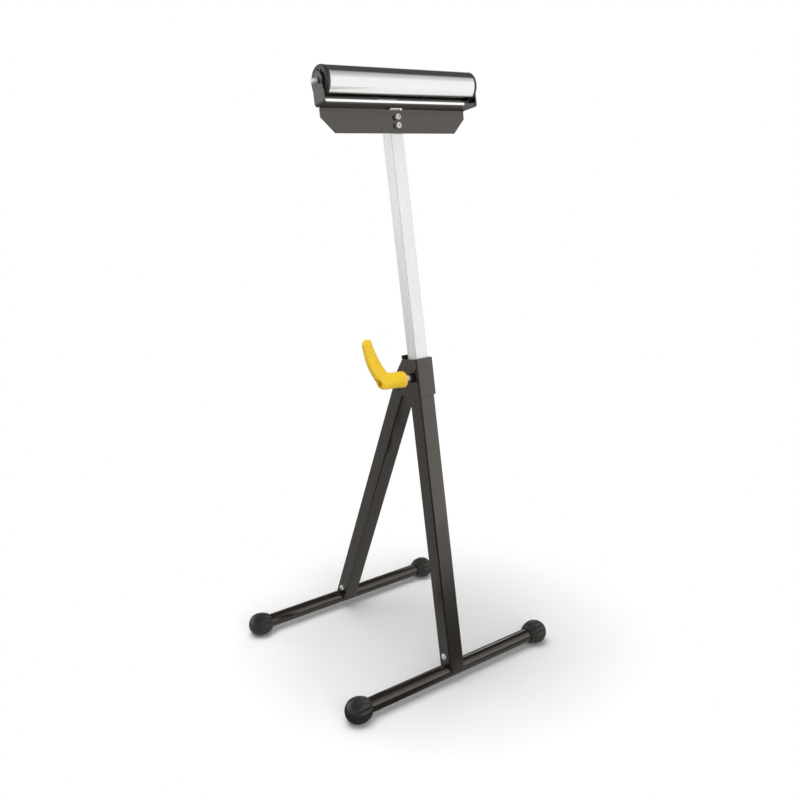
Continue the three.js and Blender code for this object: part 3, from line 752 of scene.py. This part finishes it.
# Sections of the handle: reach and rise of its inner edge, the same of its outer edge, depth, squareness
HANDLE_KNOTS = (
    (0.0, 14.2, 0.0, -14.2, 28.4, 2.0),
    (24.5, 16.0, 27.0, -12.2, 27.5, 2.1),
    (33.2, 16.9, 46.5, -9.8, 21.5, 2.8),
    (37.0, 21.0, 57.0, 9.0, 17.5, 4.0),
    (44.0, 33.3, 66.2, 27.5, 13.5, 4.5),
    (56.0, 63.6, 73.2, 61.0, 11.2, 4.5),
    (59.0, 74.4, 73.2, 73.2, 10.4, 4.5),
    (59.6, 77.0, 68.0, 78.4, 9.2, 4.0),
)


def clamp_handle():
    """Hub, bent arm and tip in one moulding, with a hole for the screw and a recess at the elbow."""
    rings = []
    for station in smooth_stations(HANDLE_KNOTS, HANDLE_STEPS):
        reach, rise, outer_reach, outer_rise, depth, square = station
        inner = Vector((-handle_start - reach, 0, clamp.z + rise))
        outer = Vector((-handle_start - outer_reach, 0, clamp.z + outer_rise))
        across = inner - outer
        section = oval(across.normalized(), across.length, depth, square)
        rings.append([(inner + outer) / 2 + offset for offset in section])
    bore = rod(SCREW + 2 * GAP, screw_low.x - GAP, 0, z=clamp.z)
    recess = rod(RECESS, 2 * handle_low.x, -handle_start - RECESS_FLOOR, z=clamp.z + RECESS_RISE)
    return carved(skin(rings), bore, recess)


clamp_nut = hex_nut(CLAMP_NUT, SCREW + 2 * PLAY)
dress("clamp_nut", moved(clamp_nut, (-pin_seat - CLAMP_NUT[1], 0, clamp.z)), front, FINE_EDGE)
dress("clamp_screw", clamp_screw(), front, edge=0)
dress("clamp_handle", clamp_handle(), front, HANDLE_EDGE)


# Post, roller bracket and head bolts

post_low, post_high = local_box("post_tube", front)
cradle_low, cradle_high = local_box("roller_bracket", front)
post_width = post_high.x - post_low.x
axle = local(front, axle_point)
ear_radius = cradle_high.z - axle.z
ear_outer = cradle_high.x
plate_back = cradle_high.y
plate_front = plate_back - CRADLE_SHEET
strip_front = cradle_low.y
strip_top = axle.z - ROLLER_RISE
strip_bottom = strip_top - CRADLE_SHEET
bolt_heights = [local(front, centre(f"head_bolt_{name}")).z for name in ("upper", "lower")]


def bolt_holes():
    """Tools for the head bolts' holes, through the plate and the post."""
    bore = HEAD_BOLT + 2 * PLAY
    return [rod_y(bore, strip_front, 2 * post_width, height) for height in bolt_heights]


def cradle():
    """Strip with an ear bent up at each end, round over the axle, and room behind it for the plate."""
    outline = channel(ear_outer, CRADLE_SHEET, EAR_BEND, strip_bottom + EAR_BEND, cradle_high.z + GAP)
    ear_back = axle.y + ear_radius
    tab = PLATE_WIDTH / 2 + RELIEF_SLACK
    room_low = (-tab, plate_back - PLATE_BEND + GAP, strip_bottom - GAP)
    bow = carved(prism(outline, Y, strip_front, ear_back), block(room_low, (tab, 0, strip_top + GAP)))
    ear = [(strip_front, strip_bottom - GAP), (ear_back, strip_bottom - GAP)]
    ear += arc((axle.y, axle.z), ear_radius, 0, 180, EAR_STEPS)
    return carved(bow, prism(ear, X, -ear_outer - GAP, ear_outer + GAP), operation="INTERSECT")


def plate():
    """Plate on the post's front with cut corners, and the bend that leads to the strip."""
    turn = (plate_back - PLATE_BEND, strip_top - PLATE_BEND)
    inside = PLATE_BEND - CRADLE_SHEET
    tab = turn[0] - CRADLE_SHEET
    bend = [(plate_back, cradle_low.z)] + arc(turn, PLATE_BEND, 0, 90, BEND_STEPS)
    bend += [(tab, strip_top), (tab, strip_bottom)]
    bend += arc(turn, inside, 90, 0, BEND_STEPS) + [(plate_front, cradle_low.z)]
    half, low, high = PLATE_WIDTH / 2, cradle_low.z - GAP, strip_top + GAP
    cut = PLATE_CHAMFER + GAP
    side = [(half - cut, low), (half, low + cut), (half, high)]
    face = side + [(-x, z) for x, z in reversed(side)]
    return carved(prism(bend, X, -half, half), prism(face, Y, strip_front, 0), operation="INTERSECT")


def roller_bracket():
    """Cradle and plate joined, with a slot over the post and holes for the axle and the bolts."""
    joined = carved(cradle(), plate(), operation="UNION")
    slot = post_width / 2 + RELIEF_SLACK
    low = (-slot, plate_back - PLATE_BEND - RELIEF_REACH, strip_top - RELIEF_DROP)
    gap = block(low, (slot, 0, strip_top + GAP))
    axle_hole = rod(AXLE + 2 * GAP, -2 * ear_outer, 2 * ear_outer, axle.y, axle.z)
    return carved(joined, gap, axle_hole, *bolt_holes())


def head_bolt(height):
    """Socket head bolt along Y, its knurled head in front."""
    face = plate_front - GAP
    end = post_width / 2 + GAP + HEAD_NUT[1] + BOLT_END
    sides = KNURLS * KNURL_POINTS
    dips = [i % KNURL_POINTS >= KNURL_POINTS / 2 for i in range(sides)]
    ridge = [HEAD_BOLT_HEAD / 2 - KNURL_DEPTH * dip for dip in dips]
    smooth = [HEAD_BOLT_HEAD / 2 - 2 * KNURL_DEPTH] * sides
    shank = [HEAD_BOLT / 2] * sides
    front_face = face - HEAD_BOLT_HEAD_HEIGHT
    stations = [(smooth, front_face), (smooth, front_face + KNURL_LEAD)]
    stations += [(ridge, front_face + KNURL_START), (ridge, face - KNURL_END)]
    stations += [(smooth, face), (shank, face), (shank, end)]
    rings = []
    for radii, y in stations:
        rings.append([(r * c, y, height + r * s) for r, (c, s) in zip(radii, circle(sides))])
    corner = HEAD_SOCKET / math.sqrt(3)
    socket = [(corner * c, height + corner * s) for c, s in circle(HEX)]
    return carved(skin(rings), prism(socket, Y, front_face - OVERCUT, front_face + HEAD_SOCKET_DEPTH))


post = square_tube(post_width, POST_WALL, POST_CORNER, post_low.z, post_high.z)
dress("post_tube", carved(post, *bolt_holes()), front, FINE_EDGE)
dress("roller_bracket", roller_bracket(), front)
for name, height in zip(("upper", "lower"), bolt_heights):
    dress(f"head_bolt_{name}", head_bolt(height), front, FINE_EDGE)
    nut = hex_nut(HEAD_NUT, HEAD_BOLT + 2 * PLAY)
    nut.transform(Matrix.Rotation(math.pi / 2, 4, "Z"))
    dress(f"head_nut_{name}", moved(nut, (0, post_width / 2 + GAP, height)), front, FINE_EDGE)


# Roller, plugs, axle and clips

roller_low, roller_high = local_box("roller_tube", head)
plug_face = local_box("roller_plug_right", head)[1].x
axle_low, axle_high = local_box("roller_axle", head)
clip_low, clip_high = local_box("axle_clip_right", head)
roller_diameter = roller_high.z - roller_low.z
axle_diameter = axle_high.z - axle_low.z


def roller_plug():
    """Plug in the roller's right end: a rim as wide as the roller, a bearing seat and pockets."""
    face, outer = plug_face, roller_diameter / 2 - ROLLER_WALL - GAP
    seat = BEARING / 2 + GAP
    seat_end = face - BEARING_INSET - BEARING_WIDTH - GAP
    hub, hub_end = seat + PLUG_HUB, seat_end - BEARING_SHOULDER
    skirt, skirt_end, roof = outer - PLUG_SKIRT, face - PLUG_DEPTH, face - PLUG_FACE
    rim = roller_diameter / 2
    profile = [(BEARING_MOUTH, hub_end), (hub, hub_end), (hub, roof), (skirt, roof), (skirt, skirt_end)]
    profile += [(outer, skirt_end), (outer, face - PLUG_RIM), (rim, face - PLUG_RIM)]
    shoulder = arc((face - RIM_ROUND, rim - RIM_ROUND), RIM_ROUND, 90, 0, CORNER_STEPS)
    profile += [(radius, x) for x, radius in shoulder]
    lip, step = rim - RIM_ROUND - RIM_WIDTH, face - RIM_STEP
    profile += [(lip, face), (lip - RIM_STEP, step), (POCKET_OUTER + RIM_STEP, step)]
    profile += [(POCKET_OUTER, face), (seat, face), (seat, seat_end), (BEARING_MOUTH, seat_end)]
    body = turned(profile, ROLLER_ROUND, looped=True)
    tools = []
    for i in range(POCKETS):
        low = (face - POCKET_DEPTH, -POCKET_WIDTH / 2, POCKET_INNER)
        pocket = block(low, (face + OVERCUT, POCKET_WIDTH / 2, POCKET_OUTER))
        pocket.transform(Matrix.Rotation(2 * math.pi * i / POCKETS, 4, "X"))
        tools.append(pocket)
    return carved(body, *tools)


def axle_clip():
    """Spring clip on the axle's right end, open underneath."""
    inner, outer = axle_diameter / 2 + GAP, clip_high.z
    start, end = CLIP_OPENING - 90, 270 - CLIP_OPENING
    outline = arc((0, 0), outer, start, end, SMALL_ROUND) + arc((0, 0), inner, end, start, SMALL_ROUND)
    return prism(outline, X, clip_low.x, clip_low.x + CLIP_THICKNESS)


shell_bore = roller_diameter - 2 * ROLLER_WALL
shell = pipe(shell_bore, roller_diameter, roller_low.x, roller_high.x, ROLLER_ROUND)
dress("roller_tube", shell, head, ROLLER_EDGE)
dress("roller_axle", rod(axle_diameter, axle_low.x, axle_high.x), head, AXLE_CHAMFER)
for name in ("left", "right"):
    dress(f"roller_plug_{name}", for_end(roller_plug(), name), head, FINE_EDGE)
    dress(f"axle_clip_{name}", for_end(axle_clip(), name), head, FINE_EDGE)


# Floor, world, lamps and camera, with distances in metres and levels of light from 0 to 1

WHITE = 1.0
SKY = 0.18
MIDDLE = (0, 0, 0)
FLAT = (1, 1, 0)

# Floor as the camera sees it: paint, darker round the stand as painted shade, that pales outwards, then white
FLOOR_REACH = 14.0
FLOOR_PAINT = 0.9
# How much lighter the paint grows outwards, which sets the depth of the painted shade round the stand
PAINTED_SHADE_GAIN = 0.36
SHADE_CENTRE = (0.03, -0.05, 0.0)
SHADE_FROM = 0.05
SHADE_TO = 0.6
WHITE_FROM = 0.38
WHITE_TO = 0.55

# Room in gloss: bright ahead and behind, dim between them, with levels from the horizon to the top
BRIGHT_SIDE = (0.59, -0.81, 0.0)
LOBE_FROM = 0.75
LOBE_TO = 0.93
DARK = 0.07
DIM = 0.22
HORIZON = 0.6
WALL_LEVELS = ((0, 1), (0.37, 0.95), (0.66, 0.58), (0.8, 0.36), (0.92, 0.08))
DIM_LEVELS = ((0.1, DIM), (0.17, HORIZON), (0.4, HORIZON), (0.52, DARK))

# The floor glows in gloss at the levels below: painted light on it, seen only in reflections
# Floor in gloss, ahead: levels by distance, as shares of the ring's radius
RING = 2.0
RING_LEVELS = (
    (0.13, 0.3), (0.17, 0.08), (0.24, 0.1), (0.4, 0.2),
    (0.53, 0.5), (0.7, 0.7), (0.95, 0.78), (1, 1),
)

# Floor in gloss, ahead and to one side
SIDE_WAY = (0.828, 0.561, 0.0)
SIDE_LEVEL = 0.95
SIDE_FROM = 0.02
SIDE_TO = 0.14
SIDE_START = 0.2
SIDE_END = 0.86

# Floor in gloss, behind
BACK_NEAR = 0.3
BACK_FAR = 0.65
BACK_FROM = 1.5
BACK_TO = 6.0

# Floor in gloss, dim between, and a painted patch of light under the stand
DIM_FROM = 2.2
DIM_TO = 3.2
PATCH_CENTRE = (0.15, 0.1, 0.0)
PATCH_LEVEL = 0.32
PATCH_FROM = 0.32
PATCH_TO = 0.42

# Lamps: place, point aimed at, width, height, radiance, and whether gloss shows them
LAMPS = {
    "top_window": ((-0.5, -0.1, 2.9), (0, 0, 0), 2.4, 2.4, 3.1, False),
    "front_window": ((-0.8, -3.0, 1.5), (0, 0, 0.55), 2.2, 2.4, 2.7, False),
    "back_window": ((-2.3, 3.1, 1.0), (0, 0, 0.6), 2.0, 1.6, 2.2, False),
    "bar_light": ((1.3, 0.96, 1.31), (0.1, -0.18, 0.02), 0.34, 0.4, 2.6, True),
}

# Camera fitted to the photograph: place in metres, turns in degrees, sensor in mm, frame in pixels
CAMERA_PLACE = (-0.8728, -1.2536, 0.9012)
CAMERA_YAW = 34.48
CAMERA_PITCH = -14.44
CAMERA_ROLL = -1.91
SENSOR = 36
FOCAL = 837.19
FRAME_SIZE = 800
PRINCIPAL = (382.22, 396.44)


def feed(tree, value, slot):
    """Sets an input to a plain number, or links a socket to it."""
    if isinstance(value, (int, float)):
        slot.default_value = value
    else:
        tree.links.new(value, slot)


def math_node(tree, operation, *values):
    """A calculation on sockets and plain numbers."""
    node = tree.nodes.new("ShaderNodeMath")
    node.operation = operation
    for value, slot in zip(values, node.inputs):
        feed(tree, value, slot)
    return node.outputs["Value"]


def vector_node(tree, operation, vector, other=None, output="Vector"):
    """A calculation on a vector socket and, where it takes two, a plain vector."""
    node = tree.nodes.new("ShaderNodeVectorMath")
    node.operation = operation
    tree.links.new(vector, node.inputs[0])
    if other:
        node.inputs[1].default_value = other
    return node.outputs[output]


def distance(tree, place, point):
    """How far a place is from a point."""
    return vector_node(tree, "DISTANCE", place, point, "Value")


def dot(tree, vector, way):
    """How far a vector reaches along a way."""
    return vector_node(tree, "DOT_PRODUCT", vector, way, "Value")


def smooth_step(tree, value, start, end, low=0.0, high=1.0):
    """A smooth rise from low to high as a value goes from start to end."""
    return spread(tree, value, start, end, low, high, "SMOOTHSTEP")


def ramp(tree, value, stops):
    """A level that runs through stops of a value and a level, both from 0 to 1."""
    node = tree.nodes.new("ShaderNodeValToRGB")
    elements = node.color_ramp.elements
    while len(elements) < len(stops):
        elements.new(1)
    for element, (place, level) in zip(elements, stops):
        element.position = place
        element.color = (level, level, level, 1)
    tree.links.new(value, node.inputs["Fac"])
    return node.outputs["Color"]


def light_path(tree, *rays):
    """1 for any of the given kinds of ray, 0 for the rest."""
    path = tree.nodes.new("ShaderNodeLightPath")
    found = path.outputs[rays[0]]
    for ray in rays[1:]:
        found = math_node(tree, "MAXIMUM", found, path.outputs[ray])
    return found


def emission(tree, strength):
    """White light of a strength, from a number or a socket."""
    node = tree.nodes.new("ShaderNodeEmission")
    feed(tree, strength, node.inputs["Strength"])
    return node.outputs["Emission"]


def shader_mix(tree, share, one, other):
    """Shader between two others."""
    node = tree.nodes.new("ShaderNodeMixShader")
    tree.links.new(share, node.inputs["Fac"])
    tree.links.new(one, node.inputs[1])
    tree.links.new(other, node.inputs[2])
    return node.outputs["Shader"]


def reflected_light(tree, direction, ahead_level, behind_level, dim):
    """Light that gloss shows in a direction: a level on the bright side, another behind, dim between."""
    flat = vector_node(tree, "MULTIPLY", direction, FLAT)
    facing = dot(tree, vector_node(tree, "NORMALIZE", flat), BRIGHT_SIDE)
    ahead = smooth_step(tree, facing, LOBE_FROM, LOBE_TO)
    behind = smooth_step(tree, facing, -LOBE_FROM, -LOBE_TO)
    lit_ahead = math_node(tree, "MULTIPLY", ahead, ahead_level)
    lit = math_node(tree, "MULTIPLY_ADD", behind, behind_level, lit_ahead)
    return math_node(tree, "MULTIPLY_ADD", lit, math_node(tree, "SUBTRACT", WHITE, dim), dim)


def seen_floor(tree, place):
    """Shader that keeps shadows round the stand, adds painted shade there that pales outwards, and ends white to
    the camera.
    """
    out = distance(tree, place, SHADE_CENTRE)
    to_camera = light_path(tree, "Is Camera Ray")
    # Floor colour lighter for the camera away from the stand, which leaves a painted shade round it
    painted_shade_fade = math_node(tree, "MULTIPLY", smooth_step(tree, out, SHADE_FROM, SHADE_TO), to_camera)
    paint = tree.nodes.new("ShaderNodeBsdfDiffuse")
    tree.links.new(math_node(tree, "MULTIPLY_ADD", painted_shade_fade, PAINTED_SHADE_GAIN, FLOOR_PAINT), paint.inputs["Color"])
    fade = math_node(tree, "MULTIPLY", smooth_step(tree, out, WHITE_FROM, WHITE_TO), to_camera)
    return shader_mix(tree, fade, paint.outputs["BSDF"], emission(tree, WHITE))


def gloss_floor(tree, place):
    """Level at which the floor glows in gloss: painted light, seen only in reflections."""
    away = distance(tree, place, MIDDLE)
    ring = ramp(tree, math_node(tree, "DIVIDE", away, RING), RING_LEVELS)
    beside = smooth_step(tree, dot(tree, place, SIDE_WAY), SIDE_FROM, SIDE_TO)
    apart = smooth_step(tree, away, SIDE_START, SIDE_END, high=SIDE_LEVEL)
    ahead = math_node(tree, "MAXIMUM", ring, math_node(tree, "MULTIPLY", beside, apart))
    behind = smooth_step(tree, away, BACK_FROM, BACK_TO, BACK_NEAR, BACK_FAR)
    dim = smooth_step(tree, away, DIM_FROM, DIM_TO, DARK, DIM)
    near = distance(tree, place, PATCH_CENTRE)
    patch = smooth_step(tree, near, PATCH_TO, PATCH_FROM, high=PATCH_LEVEL)
    return math_node(tree, "MAXIMUM", reflected_light(tree, place, ahead, behind, dim), patch)


def floor_paint():
    """Floor's material, which glows in gloss at a painted level of its own."""
    material = bpy.data.materials.new("floor_paint")
    material.use_nodes = True
    tree = material.node_tree
    tree.nodes.clear()
    place = tree.nodes.new("ShaderNodeNewGeometry").outputs["Position"]
    shiny = light_path(tree, "Is Glossy Ray", "Is Transmission Ray")
    surface = shader_mix(tree, shiny, seen_floor(tree, place), emission(tree, gloss_floor(tree, place)))
    tree.links.new(surface, tree.nodes.new("ShaderNodeOutputMaterial").inputs["Surface"])
    return material


def floor():
    """Wide flat floor under the stand."""
    outline = [(-FLOOR_REACH, -FLOOR_REACH), (FLOOR_REACH, -FLOOR_REACH)]
    outline += [(FLOOR_REACH, FLOOR_REACH), (-FLOOR_REACH, FLOOR_REACH)]
    mesh = bpy.data.meshes.new("floor")
    mesh.from_pydata([(x, y, 0) for x, y in outline], [], [(0, 1, 2, 3)])
    mesh.materials.append(floor_paint())
    plane = bpy.data.objects.new("floor", mesh)
    bpy.context.scene.collection.objects.link(plane)


def studio_world():
    """White to the camera, a faint sky on matt surfaces, and the room in gloss."""
    world = bpy.data.worlds.new("studio")
    bpy.context.scene.world = world
    world.use_nodes = True
    tree = world.node_tree
    background = tree.nodes["Background"]
    background.inputs["Color"].default_value = (1, 1, 1, 1)
    direction = tree.nodes.new("ShaderNodeTexCoord").outputs["Generated"]
    parts = tree.nodes.new("ShaderNodeSeparateXYZ")
    tree.links.new(direction, parts.inputs["Vector"])
    level = ramp(tree, parts.outputs["Z"], WALL_LEVELS)
    dim = ramp(tree, parts.outputs["Z"], DIM_LEVELS)
    room = reflected_light(tree, direction, level, level, dim)
    soft = math_node(tree, "MULTIPLY_ADD", light_path(tree, "Is Camera Ray"), WHITE - SKY, SKY)
    strength = tree.nodes.new("ShaderNodeMix")
    tree.links.new(light_path(tree, "Is Glossy Ray", "Is Transmission Ray"), strength.inputs["Factor"])
    tree.links.new(soft, strength.inputs["A"])
    tree.links.new(room, strength.inputs["B"])
    tree.links.new(strength.outputs["Result"], background.inputs["Strength"])


def window(name, place, target, width, height, radiance, in_gloss):
    """Soft rectangular lamp of an even radiance, hidden from the camera."""
    lamp = bpy.data.lights.new(name, "AREA")
    lamp.shape = "RECTANGLE"
    lamp.size = width
    lamp.size_y = height
    lamp.energy = radiance * math.pi * width * height
    item = bpy.data.objects.new(name, lamp)
    item.location = place
    item.rotation_euler = (Vector(target) - Vector(place)).to_track_quat("-Z", "Y").to_euler()
    item.visible_camera = False
    item.visible_glossy = in_gloss
    bpy.context.scene.collection.objects.link(item)


def camera():
    """Camera at the photograph's view."""
    lens = bpy.data.cameras.new("camera")
    lens.sensor_width = SENSOR
    lens.lens = SENSOR * FOCAL / FRAME_SIZE
    lens.shift_x = 0.5 - PRINCIPAL[0] / FRAME_SIZE
    lens.shift_y = PRINCIPAL[1] / FRAME_SIZE - 0.5
    yaw, pitch, roll = (math.radians(turn) for turn in (CAMERA_YAW, CAMERA_PITCH, CAMERA_ROLL))
    level = Matrix.Rotation(-yaw, 4, "Z") @ Matrix.Rotation(math.pi / 2 + pitch, 4, "X")
    item = bpy.data.objects.new("camera", lens)
    item.matrix_world = Matrix.Translation(CAMERA_PLACE) @ level @ Matrix.Rotation(roll, 4, "Z")
    bpy.context.scene.collection.objects.link(item)
    bpy.context.scene.camera = item


floor()
studio_world()
for name, lamp in LAMPS.items():
    window(name, *lamp)
camera()
bpy.context.scene.view_settings.view_transform = "Standard"
